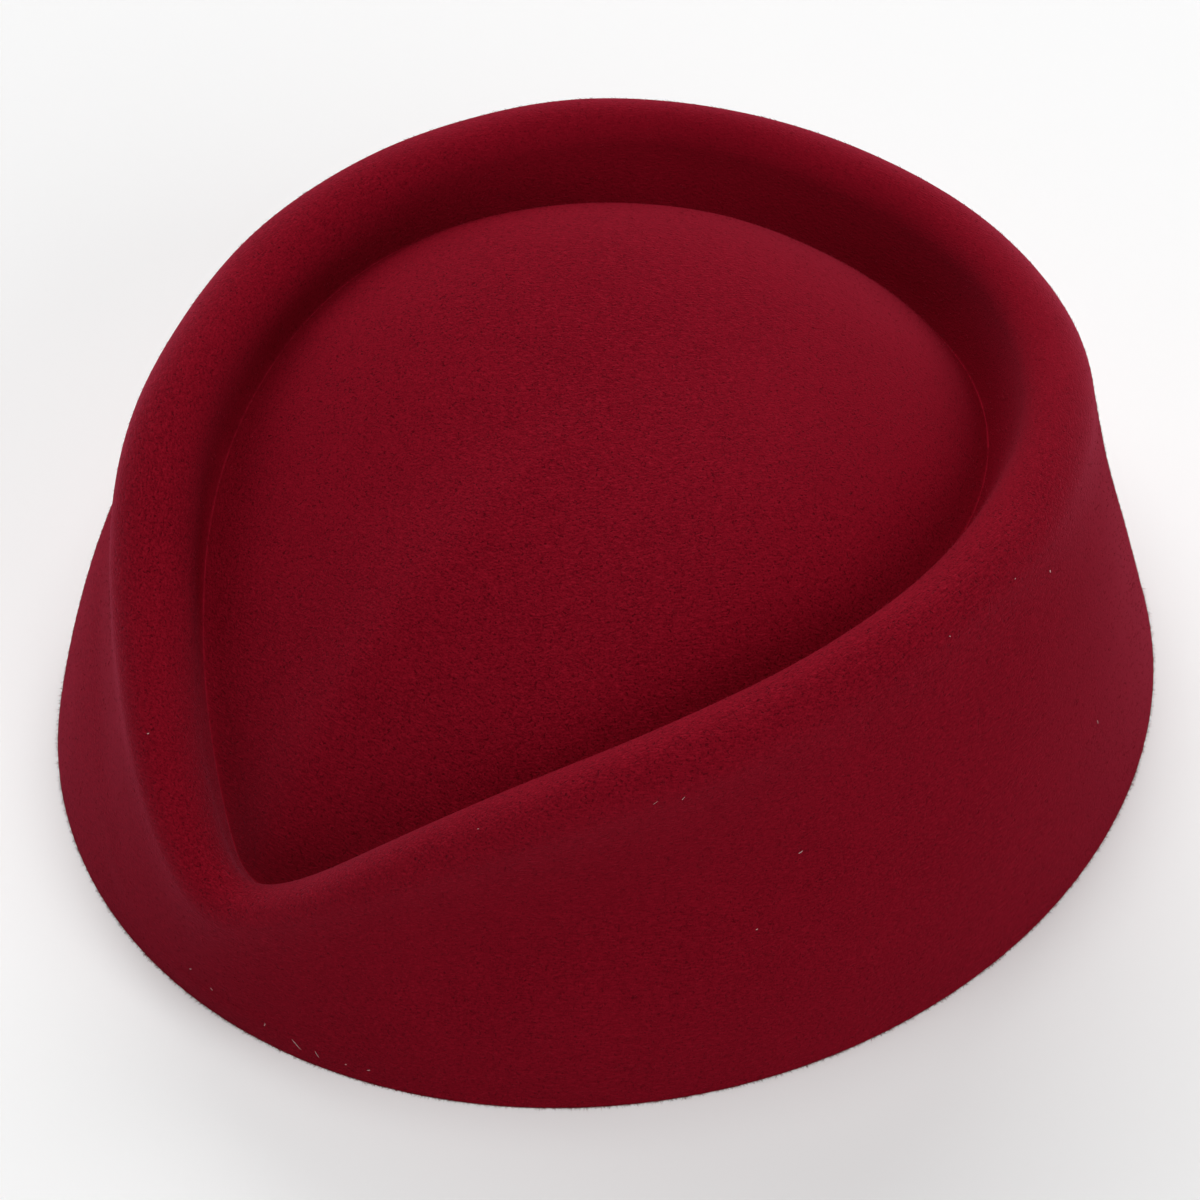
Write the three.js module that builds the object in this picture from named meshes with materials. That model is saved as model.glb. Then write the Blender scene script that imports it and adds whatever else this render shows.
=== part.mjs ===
// Pillbox hat: one piece of pressed wool felt, open below. A leaning wall rises from an oval base,
// turns over in a soft roll along a teardrop rim, drops into a groove and closes in a domed top.
// Millimetres, +Z up. The base stands on z = 0, centred on the origin, and the point of the teardrop
// is the front, towards -Y. The hat is the same on both sides of the plane x = 0.

import * as THREE from 'three';

// Sizes of the head opening and of the felt
const HEAD_LENGTH = 190;
const HEAD_WIDTH = 173;
const FELT = 2;

// Sections of the rim, by angle from the front point in degrees: plan radius and height of the
// middle of the roll, radius of the roll, lean of the neck below it in degrees, how far the wall
// below bows outwards in degrees, how far inside and below the crest the groove lies, and rise of the
// dome's rounded edge beside it
const SECTIONS = [
  { angle: 0, radius: 90.4, height: 18.8, roll: 5.2, neck: 8, bow: 0, inset: 6.2, depth: 5.0, edge: 2.0 },
  { angle: 6, radius: 88.5, height: 22.0, roll: 5.8, neck: 8, bow: 0, inset: 7.0, depth: 6.4, edge: 2.0 },
  { angle: 14, radius: 84.4, height: 30.8, roll: 6.4, neck: 8, bow: 2, inset: 7.8, depth: 7.8, edge: 2.0 },
  { angle: 26, radius: 78.1, height: 41.2, roll: 6.8, neck: 4, bow: 5, inset: 7.8, depth: 9.4, edge: 2.0 },
  { angle: 42, radius: 73.0, height: 50.6, roll: 7.0, neck: 3, bow: 8, inset: 8.6, depth: 11.3, edge: 2.5 },
  { angle: 65, radius: 68.1, height: 55.4, roll: 7.2, neck: 18, bow: 7, inset: 8.6, depth: 11.0, edge: 3.5 },
  { angle: 95, radius: 67.4, height: 57.8, roll: 7.2, neck: 28, bow: 3, inset: 8.8, depth: 11.1, edge: 3.5 },
  { angle: 135, radius: 72.1, height: 57.8, roll: 6.3, neck: 12, bow: 0, inset: 10.7, depth: 13.4, edge: 5.5 },
  { angle: 180, radius: 76.6, height: 53.0, roll: 6.2, neck: 11, bow: 0, inset: 11.1, depth: 14.1, edge: 7.0 },
];

// Wall and neck meet in a corner that is rounded over this reach, or over this share of the roll's
// height where the rim is low. The roll ends at an angle from its outer side, and the slope beyond it
// runs into the groove at a lean from plumb.
const NECK_REACH = 12;
const NECK_SHARE = 0.38;
const ROLL_END = 157;
const GROOVE_LEAN = 28;

// The domed top: rise of its crown and the power at which it falls off, what is left of the rounded
// edge's rise in the middle of the dome, and the reach of that edge
const CROWN_RISE = 14;
const CROWN_POWER = 3.3;
const EDGE_MIDDLE = 4;
const EDGE_REACH = 7;
const DOME_WAVES = 9;

// Faces round the hat and along each stretch of a section
const FACES_ROUND = 72;
const POINT_CROWDING = 0.42;
const FACES = { wall: 6, neck: 5, roll: 8, groove: 4, dome: 9 };
const DOME_CROWDING = 1.8;

const FELT_COLOUR = 0x720f1f;
const FELT_ROUGHNESS = 0.95;

const radians = THREE.MathUtils.degToRad;

// Cubic spline through one column of the table, level at the front point and at the back
function column(name) {
  const x = SECTIONS.map((row) => radians(row.angle));
  const y = SECTIONS.map((row) => row[name]);
  const last = x.length - 1;
  const slope = new Array(last + 1).fill(0);
  const share = new Array(last + 1).fill(0);
  for (let i = 1; i < last; i += 1) {
    const before = 1 / (x[i] - x[i - 1]);
    const after = 1 / (x[i + 1] - x[i]);
    const pull = 3 * ((y[i] - y[i - 1]) * before ** 2 + (y[i + 1] - y[i]) * after ** 2);
    const pivot = 2 * (before + after) - before * share[i - 1];
    share[i] = after / pivot;
    slope[i] = (pull - before * slope[i - 1]) / pivot;
  }
  for (let i = last - 1; i > 0; i -= 1) {
    slope[i] -= share[i] * slope[i + 1];
  }
  return (angle) => {
    const at = Math.min(Math.abs(angle), Math.PI);
    const i = Math.max(0, x.findIndex((end) => end >= at) - 1);
    const step = x[i + 1] - x[i];
    const from = { value: y[i], slope: slope[i] * step };
    const to = { value: y[i + 1], slope: slope[i + 1] * step };
    return blend(from, to, (at - x[i]) / step);
  };
}

// Cubic from one value and slope to another, as t goes from 0 to 1
function blend(from, to, t) {
  const rise = to.value - from.value;
  const bow = (1 - t) * from.slope - t * to.slope + (2 * t - 1) * rise;
  return from.value + rise * t + t * (1 - t) * bow;
}

const rim = {
  radius: column('radius'),
  height: column('height'),
  roll: column('roll'),
  neck: column('neck'),
  bow: column('bow'),
  inset: column('inset'),
  depth: column('depth'),
  edge: column('edge'),
};

// Plan radius of the outside of the oval base
function baseRadius(angle) {
  const along = Math.cos(angle) / (HEAD_LENGTH / 2 + FELT);
  const across = Math.sin(angle) / (HEAD_WIDTH / 2 + FELT);
  return 1 / Math.hypot(along, across);
}

// Bottom of the groove: its distance from the middle of the hat and its height
function groove(angle) {
  const crest = rim.height(angle) + rim.roll(angle);
  return new THREE.Vector2(rim.radius(angle) - rim.inset(angle), crest - rim.depth(angle));
}

// Cosine waves of the groove's height round the hat. The dome is the membrane stretched over them,
// in which the wave with n crests fades towards the middle as the n-th power of the distance.
const domeWaves = Array.from({ length: DOME_WAVES }, (_, n) => {
  const samples = 360;
  let sum = 0;
  for (let i = 0; i < samples; i += 1) {
    const angle = (Math.PI * (i + 0.5)) / samples;
    sum += groove(angle).y * Math.cos(n * angle);
  }
  return (sum / samples) * (n === 0 ? 1 : 2);
});

function membrane(angle, share) {
  return domeWaves.reduce((sum, wave, n) => sum + wave * share ** n * Math.cos(n * angle), 0);
}

// Point on a cubic from a to b that leaves along `out` and arrives along `into`, both unit vectors
function bend(a, b, out, into, t) {
  const length = a.distanceTo(b);
  const along = (axis) => blend(
    { value: a[axis], slope: out[axis] * length },
    { value: b[axis], slope: into[axis] * length },
    t,
  );
  return new THREE.Vector2(along('x'), along('y'));
}

// Direction of travel up a wall that leans inwards by an angle
const upward = (lean) => new THREE.Vector2(-Math.sin(lean), Math.cos(lean));

// One section of the outside, from the base edge up the wall, over the roll and across the dome:
// points (distance from the middle, height), without the one in the middle of the dome
function section(angle) {
  const middle = new THREE.Vector2(rim.radius(angle), rim.height(angle));
  const roll = rim.roll(angle);
  const onRoll = (turn) => new THREE.Vector2(Math.cos(turn), Math.sin(turn))
    .multiplyScalar(roll)
    .add(middle);

  const neckLean = radians(rim.neck(angle));
  const neckEnd = onRoll(neckLean);
  const reach = Math.min(NECK_REACH, NECK_SHARE * middle.y);
  const corner = neckEnd.clone().addScaledVector(upward(neckLean), -reach);
  const base = new THREE.Vector2(baseRadius(angle), 0);
  const lean = Math.atan2(base.x - corner.x, corner.y);
  const bow = radians(rim.bow(angle));
  const wallEnd = corner.clone().addScaledVector(upward(lean), -reach);
  const wallTop = upward(lean + bow);

  const rollEnd = radians(ROLL_END);
  const foot = groove(angle);
  const inward = upward(radians(-GROOVE_LEAN)).negate();

  const points = [];
  for (let i = 0; i < FACES.wall; i += 1) {
    points.push(bend(base, wallEnd, upward(lean - bow), wallTop, i / FACES.wall));
  }
  for (let i = 0; i < FACES.neck; i += 1) {
    points.push(bend(wallEnd, neckEnd, wallTop, upward(neckLean), i / FACES.neck));
  }
  for (let i = 0; i < FACES.roll; i += 1) {
    points.push(onRoll(THREE.MathUtils.lerp(neckLean, rollEnd, i / FACES.roll)));
  }
  for (let i = 0; i < FACES.groove; i += 1) {
    points.push(bend(onRoll(rollEnd), foot, upward(rollEnd), inward, i / FACES.groove));
  }
  const slack = foot.y - membrane(angle, 1);
  for (let i = 0; i < FACES.dome; i += 1) {
    const share = 1 - (i / FACES.dome) ** DOME_CROWDING;
    const rise = THREE.MathUtils.lerp(EDGE_MIDDLE, rim.edge(angle), share ** 2);
    const edge = rise * (1 - Math.exp((foot.x * (share - 1)) / EDGE_REACH));
    const crown = CROWN_RISE * (1 - share ** CROWN_POWER);
    const height = membrane(angle, share) + slack * share ** DOME_WAVES + crown + edge;
    points.push(new THREE.Vector2(foot.x * share, height));
  }
  return points;
}

// Index of faces between neighbouring rings of points, closing in one point after the last ring
function ringFaces(rings, round) {
  const faces = [];
  for (let ring = 0; ring + 1 < rings; ring += 1) {
    for (let i = 0; i < round; i += 1) {
      const a = ring * round + i;
      const b = ring * round + ((i + 1) % round);
      faces.push(a, b, b + round, a, b + round, a + round);
    }
  }
  const middle = rings * round;
  for (let i = 0; i < round; i += 1) {
    faces.push(middle - round + i, middle - round + ((i + 1) % round), middle);
  }
  return faces;
}

// Outside of the felt: rings of points from the base edge to the middle of the dome
function outerSurface() {
  const angles = Array.from({ length: FACES_ROUND }, (_, i) => {
    const turn = (2 * Math.PI * i) / FACES_ROUND - Math.PI;
    return turn - POINT_CROWDING * Math.sin(turn);
  });
  const sections = angles.map(section);
  const rings = sections[0].length;
  const points = [];
  for (let ring = 0; ring < rings; ring += 1) {
    sections.forEach((points2d, i) => {
      const { x, y } = points2d[ring];
      points.push(x * Math.sin(angles[i]), -x * Math.cos(angles[i]), y);
    });
  }
  points.push(0, 0, domeWaves[0] + CROWN_RISE + EDGE_MIDDLE);

  const surface = new THREE.BufferGeometry();
  surface.setAttribute('position', new THREE.Float32BufferAttribute(points, 3));
  surface.setIndex(ringFaces(rings, FACES_ROUND));
  surface.computeVertexNormals();
  return surface;
}

// Felt wall: the outside, the same surface moved in by the felt's thickness, and the cut edge below
function feltShell() {
  const outer = outerSurface();
  const position = outer.attributes.position;
  const normal = outer.attributes.normal;
  const points = [...position.array];
  const point = new THREE.Vector3();
  const inwards = new THREE.Vector3();
  for (let i = 0; i < position.count; i += 1) {
    point.fromBufferAttribute(position, i);
    inwards.fromBufferAttribute(normal, i);
    if (i < FACES_ROUND) {
      inwards.setZ(0).normalize();
    }
    point.addScaledVector(inwards, -FELT);
    points.push(point.x, point.y, point.z);
  }

  const faces = [...outer.index.array];
  const count = position.count;
  for (let i = 0; i < outer.index.count; i += 3) {
    const [a, b, c] = outer.index.array.slice(i, i + 3);
    faces.push(count + a, count + c, count + b);
  }
  for (let i = 0; i < FACES_ROUND; i += 1) {
    const next = (i + 1) % FACES_ROUND;
    faces.push(i, count + next, next, i, count + i, count + next);
  }

  const shell = new THREE.BufferGeometry();
  shell.setAttribute('position', new THREE.Float32BufferAttribute(points, 3));
  shell.setIndex(faces);
  shell.computeVertexNormals();
  return shell;
}

const felt = new THREE.MeshStandardMaterial({
  color: FELT_COLOUR,
  roughness: FELT_ROUGHNESS,
  metalness: 0,
});

const shell = new THREE.Mesh(feltShell(), felt);
shell.name = 'felt_shell';

const hat = new THREE.Group();
hat.add(shell);

export default hat;
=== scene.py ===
"""Pillbox hat of pressed wine-red felt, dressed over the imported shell.

The hat is one felt shell worked out as a surface on a grid: angle round the hat by place along a
section, which runs from the cut edge up the wall, over the rolled rim, down into the groove and
across the domed top, and back along the inside. Lengths here are millimetres until a mesh is made.
"""
import math

import bpy
import mathutils
import numpy as np
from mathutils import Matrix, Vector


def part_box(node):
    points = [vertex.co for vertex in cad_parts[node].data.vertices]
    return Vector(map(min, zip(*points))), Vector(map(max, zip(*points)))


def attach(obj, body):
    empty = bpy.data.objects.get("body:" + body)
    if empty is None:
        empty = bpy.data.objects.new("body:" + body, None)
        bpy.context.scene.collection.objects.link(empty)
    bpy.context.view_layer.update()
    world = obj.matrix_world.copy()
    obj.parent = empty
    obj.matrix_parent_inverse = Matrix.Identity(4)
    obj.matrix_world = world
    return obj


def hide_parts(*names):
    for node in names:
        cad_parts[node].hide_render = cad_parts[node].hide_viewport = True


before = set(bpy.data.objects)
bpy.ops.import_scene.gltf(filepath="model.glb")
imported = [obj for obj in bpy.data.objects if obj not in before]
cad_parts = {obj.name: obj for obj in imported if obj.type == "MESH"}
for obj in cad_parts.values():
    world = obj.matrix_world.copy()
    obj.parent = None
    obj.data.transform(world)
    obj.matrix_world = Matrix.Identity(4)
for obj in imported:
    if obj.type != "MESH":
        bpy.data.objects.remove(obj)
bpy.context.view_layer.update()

MM = 0.001
SHELL = "felt_shell"

# Camera, at the photograph's place: angles in degrees, lengths in millimetres
PHOTO_WIDTH = 1200
PHOTO_FOCAL_PIXELS = 4884
SENSOR = 36.0
VIEW_AZIMUTH = 41.16
VIEW_ELEVATION = 45.32
VIEW_DISTANCE = 800.0
VIEW_AIM = (4.3, -7.35, 26.5)

# Felt thickness and the small round on the cut edge below
FELT = 2.0
CUT_ROUND = 0.35

# Sections of the rim, by angle from the front point in degrees: plan radius and height of the middle
# of the roll, radius of the roll, lean of the neck under it in degrees, how far the wall below bows
# outwards in degrees, how far inside and below the crest the groove lies, and rise of the dome's rounded
# edge beside it
SECTION_COLUMNS = ("angle", "radius", "height", "roll", "neck", "bow", "inset", "depth", "edge")
SECTIONS = (
    (0, 90.4, 18.8, 5.2, 8, 0, 6.2, 5.0, 2.0),
    (6, 88.5, 22.0, 5.8, 8, 0, 7.0, 6.4, 2.0),
    (14, 84.4, 30.8, 6.4, 8, 2, 7.8, 7.8, 2.0),
    (26, 78.1, 41.2, 6.8, 4, 5, 7.8, 9.4, 2.0),
    (42, 73.0, 50.6, 7.0, 3, 8, 8.6, 11.3, 2.5),
    (65, 68.1, 55.4, 7.2, 18, 7, 8.6, 11.0, 3.5),
    (95, 67.4, 57.8, 7.2, 28, 3, 8.8, 11.1, 3.5),
    (135, 72.1, 57.8, 6.3, 12, 0, 10.7, 13.4, 5.5),
    (180, 76.6, 53.0, 6.2, 11, 0, 11.1, 14.1, 7.0),
)

# Rounding of the corner between wall and neck, end of the roll, and lean of the slope into the groove
NECK_REACH = 12.0
NECK_SHARE = 0.38
ROLL_END = 157
GROOVE_LEAN = 28

# Domed top: rise and flatness of the crown, what is left of the rounded edge's rise in the middle, the
# edge's reach, and how many waves of the groove's height the membrane carries
CROWN_RISE = 14.0
CROWN_POWER = 3.3
EDGE_MIDDLE = 4.0
EDGE_REACH = 7.0
DOME_WAVES = 9

# Unevenness left by the pressing, as slanting waves: crests round the hat, crests along a section,
# where they start in degrees, and height. They fade out beside the groove.
PRESS_COLUMNS = ("around", "along", "start", "height")
PRESS_WAVES = (
    (3, 1.5, 20, 0.22),
    (5, -2.5, 110, 0.16),
    (8, 4.0, 250, 0.09),
    (13, -5.5, 60, 0.05),
)
PRESS_FADE = 6.0

# Faces round the hat and along a section, and how they crowd towards the front point and the groove
FACES_ROUND = 300
POINT_CROWDING = 0.42
FACES = {"cut": 4, "wall": 34, "neck": 14, "roll": 34, "groove": 16, "dome": 56}
INSIDE_STEP = 2
GROOVE_CROWDING = 1.5
DOME_CROWDING = 1.8
SHOULDER_RING = FACES["cut"] + FACES["wall"] + FACES["neck"] + FACES["roll"] // 4
FOOT_RING = FACES["cut"] + FACES["wall"] + FACES["neck"] + FACES["roll"] + FACES["groove"]

# Marks on the felt. The fold at the bottom of the groove is pale, partly pressed felt and partly a
# painted highlight, with a fainter painted halo. The grain is strongest where the felt faces up, and
# fades towards the back. The nap stands highest on the outer shoulder of the roll and lies flat in the
# groove, except at its point, some way in front of the middle. Where it lies flat the felt has no sheen,
# and its colour is painted darker there as painted shade.
# The felt was brushed round the hat, and straight across the middle of the dome at an angle from +X in
# degrees. This is kept as the cosine and sine of twice the angle.
CREASE_AND_HIGHLIGHT_MARK = "pressed_crease_and_highlight"
CREASE_WIDTH = 0.4
CREASE_HALO = 2.5
CREASE_HALO_SHARE = 0.3
GRAIN_MARK = "grain"
GRAIN_UPRIGHT = 0.45
GRAIN_BACK = 0.35
GRAIN_BACK_SLOPE = 1.5
NAP_AND_GROOVE_SHADE_MARK = "nap"
NAP_PLAIN = 0.55
NAP_UPRIGHT = 0.50
SHOULDER_WIDTH = 8.0
GROOVE_WIDTH = 12.0
TIP_START = 60.0
TIP_REACH = 20.0
BRUSH_MARKS = ("brush_along", "brush_across")
BRUSH_MIDDLE = 30
BRUSH_REACH = 70.0

# Loose fibres on the felt and the fringe on the cut edge. The offset turns a fibre's way, with its axes
# swapped, into a vector that doesn't run along the fibre.
NAP_SEED = 7
NAP_FIBRES = 34000
NAP_RADIUS = 0.03
NAP_LENGTH = (0.4, 0.9)
NAP_LIFT = (0.1, 0.6)
NAP_BRUSH = 1.2
FRINGE_FIBRES = 6000
FRINGE_RINGS = 5
FRINGE_SPREAD = 0.7
ASKEW = (0.3, 0.1, 0.2)

# Bits of lint, by their place in the photograph in pixels, with their length in millimetres, the turn
# in degrees at which they lie, and their radius. Each is seated within a search distance in pixels.
LINT_COLUMNS = ("across", "down", "length", "turn", "radius")
LINT = (
    (1050, 571, 0.45, 70, 0.08),
    (1020, 576, 0.25, 10, 0.05),
    (954, 636, 0.30, 120, 0.05),
    (1100, 725, 0.90, 95, 0.05),
    (797, 855, 0.80, 20, 0.06),
    (754, 934, 0.35, 20, 0.07),
    (687, 801, 0.70, 45, 0.05),
    (652, 807, 1.00, 35, 0.02),
    (473, 826, 0.35, 50, 0.04),
    (148, 735, 0.35, 30, 0.07),
    (188, 973, 0.50, 30, 0.07),
    (209, 990, 0.60, -35, 0.04),
    (259, 1026, 0.60, 80, 0.05),
    (291, 1044, 2.40, -40, 0.03),
    (312, 1056, 1.40, -55, 0.03),
    (347, 1069, 0.30, 0, 0.06),
    (366, 1075, 0.60, 20, 0.05),
)
LINT_SEARCH = 6.0
LINT_STEPS = 7
LINT_SIDES = 6
LINT_BOW = 0.18
LINT_LIFT = 0.10
LINT_BLUNT = 0.02


# Tables and curves

def table(columns, rows):
    """Columns of a table by name, each as an array."""
    return dict(zip(columns, np.array(rows, float).T))


def cubic(start, end, start_slope, end_slope, t):
    """Cubic from start to end as t goes from 0 to 1, with the given slopes at its ends."""
    rise = end - start
    bow = (1 - t) * start_slope - t * end_slope + (2 * t - 1) * rise
    return start + rise * t + t * (1 - t) * bow


def rim_column(name, angle):
    """One column of the section table at every angle: the cubic spline through its rows that is level at
    the front point and at the back. Slopes at the rows solve the usual equations for an even bend."""
    rows = table(SECTION_COLUMNS, SECTIONS)
    x, y = np.radians(rows["angle"]), rows[name]
    gap = 1 / np.diff(x)
    pull = 3 * np.diff(y) * gap**2
    inner = np.arange(1, len(x) - 1)
    system = np.eye(len(x))
    system[inner, inner - 1] = gap[:-1]
    system[inner, inner] = 2 * (gap[:-1] + gap[1:])
    system[inner, inner + 1] = gap[1:]
    load = np.zeros(len(x))
    load[inner] = pull[:-1] + pull[1:]
    slope = np.linalg.solve(system, load)
    at = np.clip(np.abs(angle), 0, np.pi)
    i = np.clip(np.searchsorted(x, at) - 1, 0, len(x) - 2)
    step = x[i + 1] - x[i]
    return cubic(y[i], y[i + 1], slope[i] * step, slope[i + 1] * step, (at - x[i]) / step)


def bend(start, end, leave, arrive, t):
    """Points on cubics from start to end that leave and arrive along unit vectors, a row per section."""
    length = np.linalg.norm(end - start, axis=-1)[:, None, None]
    leave, arrive = leave[:, None] * length, arrive[:, None] * length
    return cubic(start[:, None], end[:, None], leave, arrive, t[None, :, None])


def upward(lean):
    """Direction of travel, as (outwards, up), on a wall that leans inwards by an angle."""
    return np.stack([-np.sin(lean), np.cos(lean)], axis=-1)


def steps(count):
    """Even steps from 0 up to, but not at, 1."""
    return np.arange(count) / count


# The felt shell

def base_radius(angle):
    """Plan radius of the base oval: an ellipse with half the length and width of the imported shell."""
    low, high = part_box(SHELL)
    half_width, half_length = [(high[axis] - low[axis]) / 2 / MM for axis in (0, 1)]
    return 1 / np.hypot(np.cos(angle) / half_length, np.sin(angle) / half_width)


def groove_foot(angle):
    """Bottom of the groove in each section, as (distance from the middle, height)."""
    crest = rim_column("height", angle) + rim_column("roll", angle)
    distance = rim_column("radius", angle) - rim_column("inset", angle)
    return np.stack([distance, crest - rim_column("depth", angle)], axis=-1)


def dome_heights(angle, foot, share):
    """Height of the dome at each share of the way out from the middle: a membrane over the groove, whose
    wave with n crests round the hat fades inwards as share to the n, plus a crown that falls as a power
    of the share and a rounded edge that rises from the groove as one minus an exponential. The edge's own
    rise in each section fades inwards, as share squared, to one rise for all."""
    even = np.pi * (np.arange(360) + 0.5) / 360
    order = np.arange(DOME_WAVES)
    waves = 2 * (groove_foot(even)[:, 1] * np.cos(order[:, None] * even)).mean(axis=1)
    waves[0] /= 2
    ripple = waves * np.cos(order * angle[:, None])
    membrane = (ripple[:, None, :] * share[None, :, None] ** order).sum(axis=2)
    slack = foot[:, 1] - ripple.sum(axis=1)
    membrane += slack[:, None] * share ** DOME_WAVES
    crown = CROWN_RISE * (1 - share**CROWN_POWER)
    rise = EDGE_MIDDLE + (rim_column("edge", angle)[:, None] - EDGE_MIDDLE) * share**2
    edge = rise * (1 - np.exp(foot[:, :1] * (share - 1) / EDGE_REACH))
    return membrane + crown + edge


def outside_sections(angle):
    """Every section of the outside as (distance from the middle, height) points. A wall leans and bows in
    from the base oval to a corner below the roll, a cubic rounds the corner into the neck, a round arc
    makes the roll, a cubic steepens into the groove, and the dome closes in towards the middle."""
    middle = np.stack([rim_column("radius", angle), rim_column("height", angle)], axis=-1)
    roll = rim_column("roll", angle)[:, None]
    neck_lean = np.radians(rim_column("neck", angle))
    base = np.stack([base_radius(angle), np.zeros_like(angle)], axis=-1)
    reach = np.minimum(NECK_REACH, NECK_SHARE * middle[:, 1])[:, None]

    def on_roll(turn):
        return middle[:, None] + roll[:, None] * np.stack([np.cos(turn), np.sin(turn)], axis=-1)

    roll_turn = math.radians(ROLL_END) - neck_lean
    over_roll = on_roll(neck_lean[:, None] + roll_turn[:, None] * steps(FACES["roll"]))
    neck_end = over_roll[:, 0]
    roll_end = on_roll(np.full((len(angle), 1), math.radians(ROLL_END)))[:, 0]
    neck_up = upward(neck_lean)
    corner = neck_end - reach * neck_up
    lean = np.arctan2(base[:, 0] - corner[:, 0], corner[:, 1])
    bow = np.radians(rim_column("bow", angle))
    wall_end = corner - reach * upward(lean)
    wall_foot_up, wall_top_up = upward(lean - bow), upward(lean + bow)
    foot = groove_foot(angle)

    cut_turn = 0.5 * np.pi * steps(FACES["cut"])
    cut = base[:, None] + CUT_ROUND * np.stack([np.sin(cut_turn) - 1, 1 - np.cos(cut_turn)], axis=-1)
    wall_start = base + CUT_ROUND * wall_foot_up / wall_foot_up[:, 1:]
    wall = bend(wall_start, wall_end, wall_foot_up, wall_top_up, steps(FACES["wall"]))
    neck = bend(wall_end, neck_end, wall_top_up, neck_up, steps(FACES["neck"]))
    leave = np.broadcast_to(upward(math.radians(ROLL_END)), foot.shape)
    arrive = np.broadcast_to(-upward(math.radians(-GROOVE_LEAN)), foot.shape)
    slope = bend(roll_end, foot, leave, arrive, 1 - (1 - steps(FACES["groove"])) ** GROOVE_CROWDING)
    share = 1 - steps(FACES["dome"]) ** DOME_CROWDING
    dome = np.stack([foot[:, :1] * share, dome_heights(angle, foot, share)], axis=-1)
    return np.concatenate([cut, wall, neck, over_roll, slope, dome], axis=1)


def band_quads(rings, count):
    """Quads between neighbouring rings that each have a count of points."""
    here = np.arange(count)
    beyond = (here + 1) % count
    first = count * np.arange(rings - 1)[:, None]
    corners = first + here, first + beyond, first + count + beyond, first + count + here
    return np.stack(corners, axis=-1).reshape(-1, 4)


def ring_faces(rings, first, pole, flip):
    """Quads between neighbouring rings of points, and triangles from the last ring to the pole."""
    quads = first + band_quads(rings, FACES_ROUND)
    here = np.arange(FACES_ROUND)
    beyond = (here + 1) % FACES_ROUND
    last = first + FACES_ROUND * (rings - 1)
    fan = np.stack([last + here, last + beyond, np.full(FACES_ROUND, pole)], axis=-1)
    if flip:
        quads, fan = quads[:, ::-1], fan[:, ::-1]
    return quads.tolist() + fan.tolist()


def unit_normals(grid):
    """Outward unit normals of a grid of points that closes on itself along its first axis."""
    around = np.roll(grid, -1, axis=0) - np.roll(grid, 1, axis=0)
    along = np.gradient(grid, axis=1)
    normal = np.cross(around, along)
    return normal / np.linalg.norm(normal, axis=2, keepdims=True)


def press_heights(angle, rings):
    """Small rise and fall of the felt: the sum of the slanting sine waves, faded out by half a sine
    towards the cut edge and towards the middle of the dome."""
    place = np.linspace(0, 1, rings)
    wave = {name: column[:, None, None] for name, column in table(PRESS_COLUMNS, PRESS_WAVES).items()}
    turns = wave["around"] * angle[:, None] + 2 * np.pi * wave["along"] * place
    phase = turns + np.radians(wave["start"])
    return np.sin(np.pi * place) * (wave["height"] * np.sin(phase)).sum(axis=0)


def closeness(grid, ring, width):
    """How near each point lies to one ring of the grid: one on it, falling off as a bell curve of the
    distance along the section."""
    step = np.linalg.norm(np.diff(grid, axis=1), axis=2)
    along = np.pad(np.cumsum(step, axis=1), ((0, 0), (1, 0)))
    return np.exp(-(((along - along[:, ring:ring + 1]) / width) ** 2))


def felt_surface():
    """Outside of the felt as a grid of points, angle round the hat by place along a section, with its
    outward unit normals. Angles are crowded towards the front point."""
    turn = 2 * np.pi * steps(FACES_ROUND) - np.pi
    angle = turn - POINT_CROWDING * np.sin(turn)
    sections = outside_sections(angle)
    distance, height = sections[..., 0], sections[..., 1]
    smooth = np.stack(
        [distance * np.sin(angle)[:, None], -distance * np.cos(angle)[:, None], height], axis=-1)
    press = press_heights(angle, smooth.shape[1]) * (1 - closeness(smooth, FOOT_RING, PRESS_FADE))
    outside = smooth + press[..., None] * unit_normals(smooth)
    return outside, unit_normals(outside)


def felt_marks(outside, normal):
    """Shares that the finish reads, by name: the fold (a pale line, partly painted highlight), the grain,
    the nap (which also sets painted shade beside the groove) and the way of the brush.
    """
    upwards = np.clip(normal[..., 2], 0, 1)
    backwards = np.clip(GRAIN_BACK_SLOPE * outside[..., 1] / outside[..., 1].max(), 0, 1)
    grain = GRAIN_UPRIGHT + (1 - GRAIN_UPRIGHT) * upwards
    nap = NAP_UPRIGHT + (NAP_PLAIN - NAP_UPRIGHT) * upwards
    nap = nap + (1 - nap) * closeness(outside, SHOULDER_RING, SHOULDER_WIDTH)
    # Beside the groove, save at its point, the nap lies flat: no sheen, and painted shade in the colour
    forwards = np.clip((-outside[..., 1] - TIP_START) / TIP_REACH, 0, 1)
    groove = (1 - forwards) * closeness(outside, FOOT_RING, GROOVE_WIDTH)
    straight = np.radians(2 * BRUSH_MIDDLE)
    around = 2 * np.arctan2(outside[..., 0], -outside[..., 1])
    outer = np.clip(np.hypot(outside[..., 0], outside[..., 1]) / BRUSH_REACH, 0, 1) ** 2
    return {
        # Pale line along the fold, partly pressed felt and partly painted highlight, with a fainter halo
        CREASE_AND_HIGHLIGHT_MARK: np.maximum(
            closeness(outside, FOOT_RING, CREASE_WIDTH),
            CREASE_HALO_SHARE * closeness(outside, FOOT_RING, CREASE_HALO)),
        GRAIN_MARK: grain * (1 + (GRAIN_BACK - 1) * backwards),
        NAP_AND_GROOVE_SHADE_MARK: nap * (1 - groove),
        BRUSH_MARKS[0]: outer * np.cos(around) + (1 - outer) * np.cos(straight),
        BRUSH_MARKS[1]: outer * np.sin(around) + (1 - outer) * np.sin(straight),
    }


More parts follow.
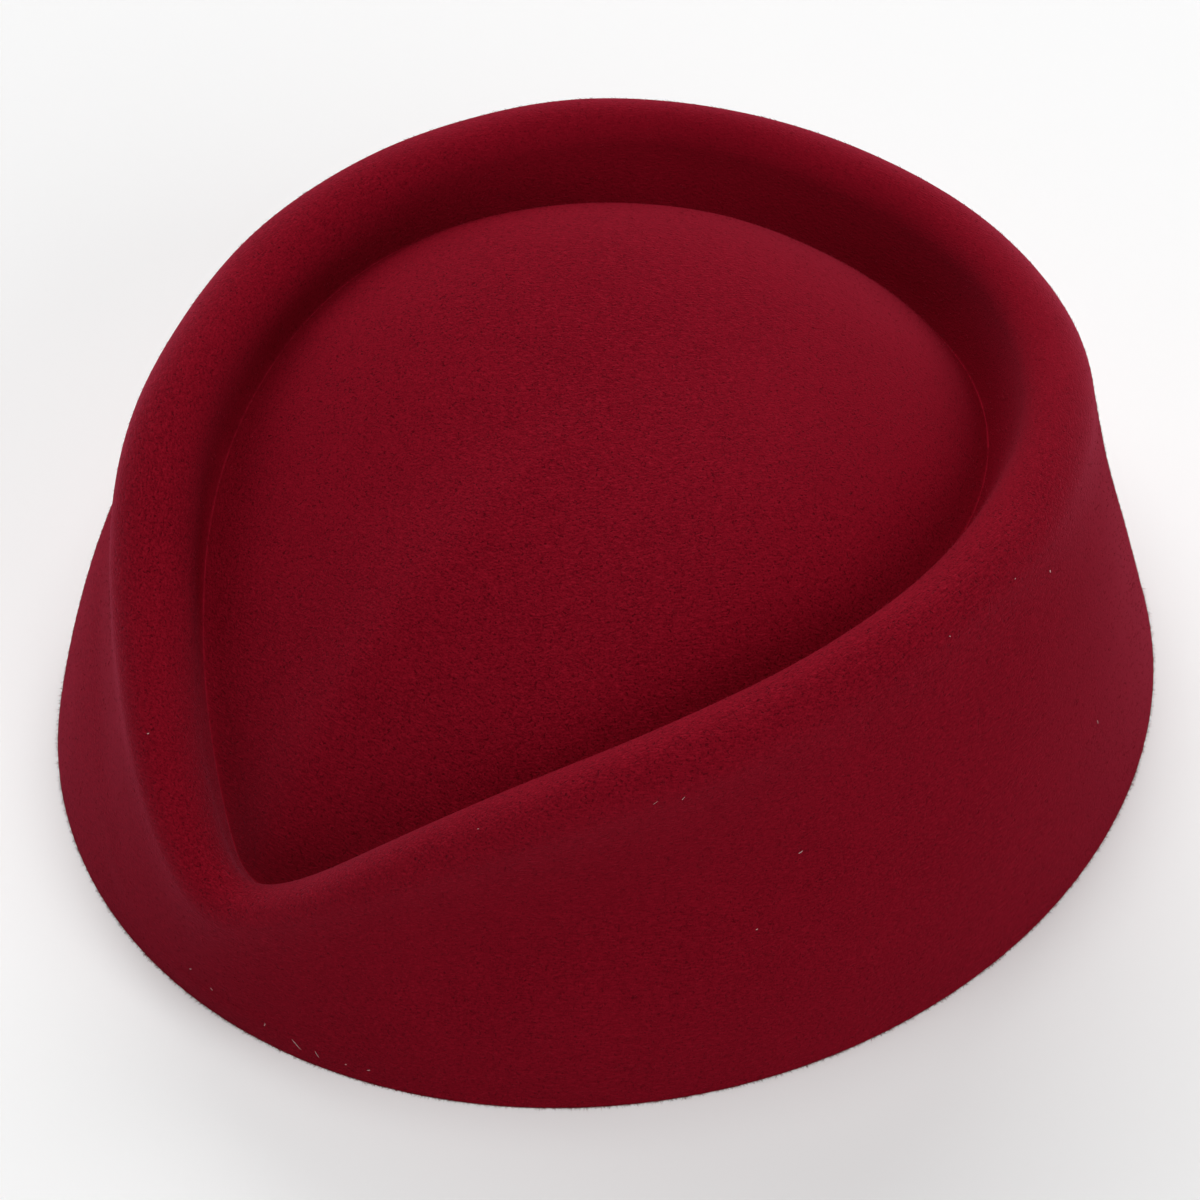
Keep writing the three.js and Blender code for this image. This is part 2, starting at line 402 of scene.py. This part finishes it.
def build_mesh(name, points, faces):
    """Object at the origin with a smooth-shaded mesh of points in millimetres."""
    mesh = bpy.data.meshes.new(name)
    mesh.from_pydata((points * MM).tolist(), [], faces)
    mesh.polygons.foreach_set("use_smooth", np.ones(len(mesh.polygons), bool))
    mesh.update()
    piece = bpy.data.objects.new(name, mesh)
    bpy.context.collection.objects.link(piece)
    return piece


def make_felt_hat(outside, normal):
    """The whole felt: the outside grid, every second ring of it moved in by the felt's thickness as the
    inside, and a flat cut edge between the two at the base. Only the outside has marks, and its pole
    takes the mean of those round it."""
    inside = (outside - FELT * normal)[:, FACES["cut"]::INSIDE_STEP]
    inside[:, 0, 2] = 0
    pole = np.array([[0, 0, outside[:, -1, 2].mean()]])

    rings_out, rings_in = outside.shape[1], inside.shape[1]
    first_in = rings_out * FACES_ROUND
    pole_out = first_in + rings_in * FACES_ROUND
    points = np.concatenate([
        outside.swapaxes(0, 1).reshape(-1, 3), inside.swapaxes(0, 1).reshape(-1, 3),
        pole, pole - [[0, 0, FELT]]])
    here = np.arange(FACES_ROUND)
    beyond = (here + 1) % FACES_ROUND
    edge = np.stack([here, first_in + here, first_in + beyond, beyond], axis=-1)
    faces = ring_faces(rings_out, 0, pole_out, False)
    faces += ring_faces(rings_in, first_in, pole_out + 1, True)
    faces += edge.tolist()
    hat = build_mesh("felt_hat", points, faces)

    for mark, values in felt_marks(outside, normal).items():
        shares = np.zeros(len(points))
        shares[:first_in] = values.T.ravel()
        shares[pole_out] = values[:, -1].mean()
        hat.data.attributes.new(mark, "FLOAT", "POINT").data.foreach_set("value", shares)
    hat.data.materials.append(wine_felt())
    return hat


# Nap and lint

def scattered(outside, normal, count, rng):
    """Places spread evenly over the outside, with the normals there: a grid cell drawn by its area, then
    a point between the cell's four corners."""
    beyond = np.roll(outside, -1, axis=0)
    corners = outside[:, :-1], beyond[:, :-1], beyond[:, 1:], outside[:, 1:]
    area = np.linalg.norm(np.cross(corners[2] - corners[0], corners[3] - corners[1]), axis=2)
    cell = rng.choice(area.size, count, p=area.ravel() / area.sum())
    at = np.unravel_index(cell, area.shape)
    u, v = rng.random((2, count, 1))
    weights = (1 - u) * (1 - v), u * (1 - v), u * v, (1 - u) * v
    return sum(weight * corner[at] for weight, corner in zip(weights, corners)), normal[:, :-1][at]


def unit(vectors):
    """The vectors at a length of one."""
    return vectors / np.linalg.norm(vectors, axis=-1, keepdims=True)


def spikes(root, way, length):
    """Slim three-sided spikes: a triangle round each root, square to the way, and a point at the tip."""
    side = unit(np.cross(way, way[:, [1, 2, 0]] + ASKEW))
    turn = 2 * np.pi * steps(3)[:, None]
    arm = np.cos(turn) * side[:, None] + np.sin(turn) * np.cross(way, side)[:, None]
    points = np.concatenate([root[:, None] + NAP_RADIUS * arm, (root + length * way)[:, None]], axis=1)
    faces = np.array([(0, 1, 3), (1, 2, 3), (2, 0, 3), (2, 1, 0)])
    return points.reshape(-1, 3), (4 * np.arange(len(root))[:, None, None] + faces).reshape(-1, 3)


def make_nap(outside, normal):
    """Loose fibres that stand off the felt: low ones all over that mostly lie round the hat, and a fringe
    along the cut edge that points outwards and never below the edge."""
    rng = np.random.default_rng(NAP_SEED)
    root, facing = scattered(outside, normal, NAP_FIBRES, rng)
    brush = unit(np.cross([0, 0, 1], root))
    lie = unit(np.cross(facing, rng.normal(size=root.shape)) + NAP_BRUSH * brush)
    way = unit(lie + facing * rng.uniform(*NAP_LIFT, (NAP_FIBRES, 1)))

    fringe = scattered(outside[:, :FRINGE_RINGS], normal[:, :FRINGE_RINGS], FRINGE_FIBRES, rng)
    fringe_way = unit(fringe[1] + rng.normal(scale=FRINGE_SPREAD, size=fringe[0].shape))
    root = np.concatenate([root, fringe[0]])
    way = np.concatenate([way, fringe_way])
    length = rng.uniform(*NAP_LENGTH, (len(root), 1))
    points, faces = spikes(root, way, length)
    points[:, 2] = np.maximum(points[:, 2], 0)
    nap = build_mesh("felt_nap", points, faces.tolist())
    for name, colour in NAP_TINTS.items():
        nap.data.materials.append(nap_fibre(name, colour))
    tint = rng.integers(len(NAP_TINTS), size=len(root))
    nap.data.polygons.foreach_set("material_index", np.repeat(tint, len(faces) // len(root)))
    return nap


def photo_places(points):
    """Where points fall in the photograph, in pixels across and down, and their distance from the eye."""
    back = direction(VIEW_AZIMUTH, VIEW_ELEVATION)
    right = direction(VIEW_AZIMUTH + 90, 0)
    arm = points - np.array(VIEW_AIM)
    away = VIEW_DISTANCE - arm @ back
    screen = np.stack([arm @ right, -(arm @ np.cross(back, right))], axis=-1)
    return PHOTO_WIDTH / 2 + PHOTO_FOCAL_PIXELS * screen / away[..., None], away


def lint_seats(outside, normal):
    """Grid points of the felt that carry the lint: of those near a bit's place in the photograph, the one
    nearest to the eye."""
    pixels, away = photo_places(outside)
    rows = table(LINT_COLUMNS, LINT)
    wanted = np.stack([rows["across"], rows["down"]], axis=-1)[:, None, None]
    near = np.linalg.norm(pixels - wanted, axis=-1) < LINT_SEARCH
    depth = np.where(near, away, np.inf).reshape(len(LINT), -1)
    seat = depth.argmin(axis=1)
    return outside.reshape(-1, 3)[seat], normal.reshape(-1, 3)[seat]


def make_lint(outside, normal):
    """Bits of pale lint, each a closed tube along a shallow bow that lies on the felt and lifts at its
    ends."""
    seat, facing = lint_seats(outside, normal)
    rows = table(LINT_COLUMNS, LINT)
    level = unit(np.cross(facing, [0, 0, 1]))
    turn = np.radians(rows["turn"])[:, None]
    lie = np.cos(turn) * level + np.sin(turn) * np.cross(facing, level)
    side = np.cross(facing, lie)
    place = np.linspace(-1, 1, LINT_STEPS)[None, :, None]
    reach = 0.5 * rows["length"][:, None, None]
    sideways = LINT_BOW * (1 - place**2) * side[:, None]
    lift = LINT_LIFT * place**2 * facing[:, None]
    bow = seat[:, None] + reach * (place * lie[:, None] + sideways + lift)
    around = 2 * np.pi * steps(LINT_SIDES)[:, None]
    arm = np.cos(around) * side[:, None, None] + np.sin(around) * facing[:, None, None]
    taper = np.sqrt(1 + LINT_BLUNT - place**2)[..., None]
    radius = rows["radius"][:, None, None, None]
    points = bow[:, :, None] + radius * (facing[:, None, None] + taper * arm)

    ring = np.arange(LINT_SIDES)
    last = LINT_SIDES * (LINT_STEPS - 1)
    bits = LINT_SIDES * LINT_STEPS * np.arange(len(LINT))[:, None, None]
    faces = (bits + band_quads(LINT_STEPS, LINT_SIDES)).reshape(-1, 4).tolist()
    faces += (bits[:, 0] + ring[::-1]).tolist() + (bits[:, 0] + last + ring).tolist()
    lint = build_mesh("lint_bits", points.reshape(-1, 3), faces)
    lint.data.materials.append(pale_lint())
    return lint


# Finishes, with the numbers of the sockets that share their name with others on a node

OBJECT_PLACE = 3
ATTRIBUTE_SHARE = 2
MIX_FIRST = 6
MIX_SECOND = 7
MIX_COLOUR = 2


class Value:
    """A socket of a material's nodes. Arithmetic on it adds Math nodes."""

    def __init__(self, finish, socket):
        self.finish = finish
        self.socket = socket

    def math(self, operation, *terms):
        return self.finish.node("Math", {"operation": operation}, dict(enumerate(terms)))

    def __add__(self, other):
        return self.math("ADD", self, other)

    def __sub__(self, other):
        return self.math("SUBTRACT", self, other)

    def __rsub__(self, other):
        return self.math("SUBTRACT", other, self)

    def __mul__(self, other):
        return self.math("MULTIPLY", self, other)

    __radd__ = __add__
    __rmul__ = __mul__


class Finish:
    """A material whose nodes are added one by one."""

    def __init__(self, name):
        self.material = bpy.data.materials.new(name)
        self.material.use_nodes = True
        self.tree = self.material.node_tree
        self.tree.nodes.clear()

    def node(self, kind, settings=None, sockets=None, output=0):
        """Adds a node, sets its settings, then sets or links its sockets, and returns one output."""
        node = self.tree.nodes.new("ShaderNode" + kind)
        for name, value in (settings or {}).items():
            setattr(node, name, value)
        for key, value in (sockets or {}).items():
            if isinstance(value, Value):
                self.tree.links.new(value.socket, node.inputs[key])
            else:
                node.inputs[key].default_value = value
        return Value(self, node.outputs[output])

    def mix(self, factor, first, second):
        """Colour mixed from first to second."""
        colours = {"Factor": factor, MIX_FIRST: first, MIX_SECOND: second}
        return self.node("Mix", {"data_type": "RGBA"}, colours, output=MIX_COLOUR)

    def ramp(self, value, low, high):
        """Goes smoothly from 0 at low to 1 at high."""
        return self.node(
            "MapRange", {"interpolation_type": "SMOOTHSTEP"},
            {"Value": value, "From Min": low, "From Max": high})

    def surface(self, shader):
        """Ends the nodes at a shader, and returns the material."""
        output = self.tree.nodes.new("ShaderNodeOutputMaterial")
        self.tree.links.new(shader.socket, output.inputs["Surface"])
        return self.material


WINE_DEEP = (0.080, 0.0006, 0.0034, 1)
WINE_PALE = (0.255, 0.0052, 0.0150, 1)
WINE_PORE = (0.045, 0.0003, 0.0018, 1)
# Pale colour of the fold line: partly pressed felt, partly painted highlight
WINE_PRESSED_FOLD_AND_HIGHLIGHT = (0.300, 0.0070, 0.0200, 1)
WINE_SHEEN = (1.0, 0.17, 0.29, 1)
NAP_TINTS = {
    "wine_fibre_deep": (0.100, 0.0010, 0.0045, 1),
    "wine_fibre": (0.190, 0.0045, 0.0115, 1),
    "wine_fibre_pale": (0.280, 0.0160, 0.0300, 1),
}
LINT_WHITE = (0.66, 0.46, 0.45, 1)
FLOOR_WHITE = (0.86, 0.86, 0.86, 1)

# Finish of the felt: sizes of its noises as waves in a metre, the ranges of a noise that make a pore or
# a strand, how much of each shows in the colour and in the relief, and the sheen of the nap
NOISE_ROUGHNESS = 0.6
CLOUD_WAVES = 45.0
CLOUD_SHARE = 0.12
GRAIN_WAVES = 3400.0
GRAIN_SHARE = 0.75
FIBRE_WAVES = 3600.0
FIBRE_STRETCH = (4, 1, 1)
FIBRE_SHARE = 0.75
STRAND_RANGE = (0.08, 0.25)
STRAND_SHARE = 0.45
STRAND_RELIEF = 0.5
PORE_WAVES = 2100.0
PORE_RANGE = (0.10, 0.22)
PORE_SHARE = 0.70
PORE_RELIEF = 1.2
# Pale line along the fold: partly pressed felt, partly painted highlight
FOLD_WAVES = 260.0
FOLD_SHARE = 0.6
FOLD_UNEVENNESS = 0.9
# Painted shade: the colour darkens beside the groove, where the nap lies flat
FLAT_NAP = 0.5
GROOVE_PAINTED_SHADE = 0.08
RELIEF_STRENGTH = 0.5
RELIEF_DEPTH = 0.2
FELT_ROUGHNESS = 0.95
SHEEN_WEIGHT = 0.28
SHEEN_ROUGHNESS = 0.5


def wine_felt():
    """Pressed wine-red felt: faint broad clouds, a fine grain, dark pores, short fibres that lie the way
    of the brush, and a pale, uneven line along the fold at the bottom of the groove, partly pressed felt
    and partly a painted highlight. Each of four stretched noises, at half right angles, shows where the
    brush went its way. Felt with a nap has a sheen, and flat felt has none; beside the groove, where the
    nap lies flat, the colour is painted darker as painted shade."""
    felt = Finish("wine_felt")
    place = felt.node("TexCoord", output=OBJECT_PLACE)

    def mark(name):
        return felt.node("Attribute", {"attribute_name": name}, output=ATTRIBUTE_SHARE)

    def noise(scale, detail, at=place):
        texture = {"Vector": at, "Scale": scale, "Detail": detail, "Roughness": NOISE_ROUGHNESS}
        return felt.node("TexNoise", {}, texture) - 0.5

    def fibres(turn, share):
        stretched = felt.node("Mapping", {"vector_type": "TEXTURE"}, {
            "Vector": place, "Rotation": (0, 0, math.radians(turn)), "Scale": FIBRE_STRETCH})
        return share.math("MAXIMUM", share, 0.0) * noise(FIBRE_WAVES, 1.0, stretched)

    grip, nap = mark(GRAIN_MARK), mark(NAP_AND_GROOVE_SHADE_MARK)
    along, across = [mark(name) for name in BRUSH_MARKS]
    fibre = fibres(0, along) + fibres(45, across) + fibres(90, -1 * along) + fibres(135, -1 * across)
    grain = noise(GRAIN_WAVES, 1.0)
    pore = grip * felt.ramp(noise(PORE_WAVES, 1.0), *PORE_RANGE)
    strand = grip * felt.ramp(fibre, *STRAND_RANGE)
    # Painted shade: darker colour beside the groove, where the nap lies flat, except at its point
    flat = 1 - felt.ramp(nap, 0.0, FLAT_NAP)
    cloud = CLOUD_SHARE * noise(CLOUD_WAVES, 2.0)
    tone = 0.5 + cloud + grip * (GRAIN_SHARE * grain + FIBRE_SHARE * fibre) - GROOVE_PAINTED_SHADE * flat
    colour = felt.mix(felt.ramp(tone, 0.0, 1.0), WINE_DEEP, WINE_PALE)
    colour = felt.mix(STRAND_SHARE * strand, colour, WINE_PALE)
    colour = felt.mix(PORE_SHARE * pore, colour, WINE_PORE)
    # Painted highlight, partly pressed felt: the pale, uneven line along the fold
    fold = mark(CREASE_AND_HIGHLIGHT_MARK) * (FOLD_SHARE + FOLD_UNEVENNESS * noise(FOLD_WAVES, 2.0))
    colour = felt.mix(fold, colour, WINE_PRESSED_FOLD_AND_HIGHLIGHT)
    relief = grain + fibre + STRAND_RELIEF * strand - PORE_RELIEF * pore
    normal = felt.node("Bump", {}, {
        "Strength": RELIEF_STRENGTH, "Distance": RELIEF_DEPTH * MM, "Height": relief})
    cloth = {
        "Base Color": colour, "Roughness": FELT_ROUGHNESS, "Specular IOR Level": 0.0, "Normal": normal}
    sheen = {
        "Sheen Weight": SHEEN_WEIGHT, "Sheen Roughness": SHEEN_ROUGHNESS, "Sheen Tint": WINE_SHEEN}
    pressed = felt.node("BsdfPrincipled", {}, cloth)
    napped = felt.node("BsdfPrincipled", {}, cloth | sheen)
    return felt.surface(felt.node("MixShader", {}, {"Fac": nap, 1: pressed, 2: napped}))


def nap_fibre(name, colour):
    """Wine-red wool fibre."""
    fibre = Finish(name)
    shader = fibre.node("BsdfPrincipled", {}, {
        "Base Color": colour, "Roughness": 0.9, "Specular IOR Level": 0.05})
    return fibre.surface(shader)


def pale_lint():
    """Pale cotton lint with a trace of the felt's dye."""
    lint = Finish("pale_lint")
    shader = lint.node("BsdfPrincipled", {}, {
        "Base Color": LINT_WHITE, "Roughness": 0.8, "Specular IOR Level": 0.1})
    return lint.surface(shader)


def pale_floor():
    """Matt white table."""
    floor = Finish("pale_floor")
    shader = floor.node("BsdfPrincipled", {}, {"Base Color": FLOOR_WHITE, "Roughness": 0.9})
    return floor.surface(shader)


# Stage: strength of the light from all round, spread of each lamp in degrees, and lengths in millimetres

FLOOR_HALF = 3000.0
ROOM_LIGHT = 0.06
LIGHT_SPREAD = 50
LIGHT_DISTANCE = 1000.0
LIGHT_COLUMNS = ("name", "azimuth", "elevation", "strength")
LIGHTS = (
    ("overhead", 0, 90, 1.84),
    ("front_low", 41, 20, 0.12),
    ("right_low", 86, 20, 1.06),
    ("behind_low", 221, 20, 2.25),
    ("left_low", 266, 20, 0.85),
)


def direction(azimuth, elevation):
    """Unit vector from the hat towards a place at an azimuth and elevation in degrees."""
    turn, climb = math.radians(azimuth), math.radians(elevation)
    level = math.cos(climb)
    return np.array([math.sin(turn) * level, -math.cos(turn) * level, math.sin(climb)])


def look_at(thing, place, target):
    """Puts a camera or light at a place, in millimetres, facing a target."""
    thing.location = [value * MM for value in place]
    gaze = mathutils.Vector([b - a for a, b in zip(place, target)])
    thing.rotation_euler = gaze.to_track_quat("-Z", "Y").to_euler()


def make_camera():
    """Camera at the photograph's place, with its angle of view."""
    data = bpy.data.cameras.new("photo_camera")
    data.sensor_width = SENSOR
    data.lens = PHOTO_FOCAL_PIXELS * SENSOR / PHOTO_WIDTH
    camera = bpy.data.objects.new("photo_camera", data)
    bpy.context.collection.objects.link(camera)
    aim = np.array(VIEW_AIM)
    look_at(camera, aim + VIEW_DISTANCE * direction(VIEW_AZIMUTH, VIEW_ELEVATION), aim)
    bpy.context.scene.camera = camera


def make_light(name, azimuth, elevation, strength):
    """Broad, even light from far off, as from a large softbox."""
    data = bpy.data.lights.new(name, "SUN")
    data.angle = math.radians(LIGHT_SPREAD)
    data.energy = strength
    lamp = bpy.data.objects.new(name, data)
    bpy.context.collection.objects.link(lamp)
    look_at(lamp, LIGHT_DISTANCE * direction(azimuth, elevation), (0, 0, 0))


def make_stage():
    """Soft light from all round, the lamps and a wide, plain floor."""
    world = bpy.data.worlds.new("studio")
    world.use_nodes = True
    sky = world.node_tree.nodes["Background"]
    sky.inputs["Color"].default_value = (1, 1, 1, 1)
    sky.inputs["Strength"].default_value = ROOM_LIGHT
    bpy.context.scene.world = world
    bpy.context.scene.view_settings.view_transform = "Standard"
    for light in LIGHTS:
        make_light(**dict(zip(LIGHT_COLUMNS, light)))

    points = FLOOR_HALF * np.array([(-1, -1, 0), (1, -1, 0), (1, 1, 0), (-1, 1, 0)])
    floor = build_mesh("floor", points, [(0, 1, 2, 3)])
    floor.data.materials.append(pale_floor())


make_camera()
felt_points, felt_normals = felt_surface()
hat = make_felt_hat(felt_points, felt_normals)
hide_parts(SHELL)
for piece in (hat, make_nap(felt_points, felt_normals), make_lint(felt_points, felt_normals)):
    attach(piece, "root")
make_stage()
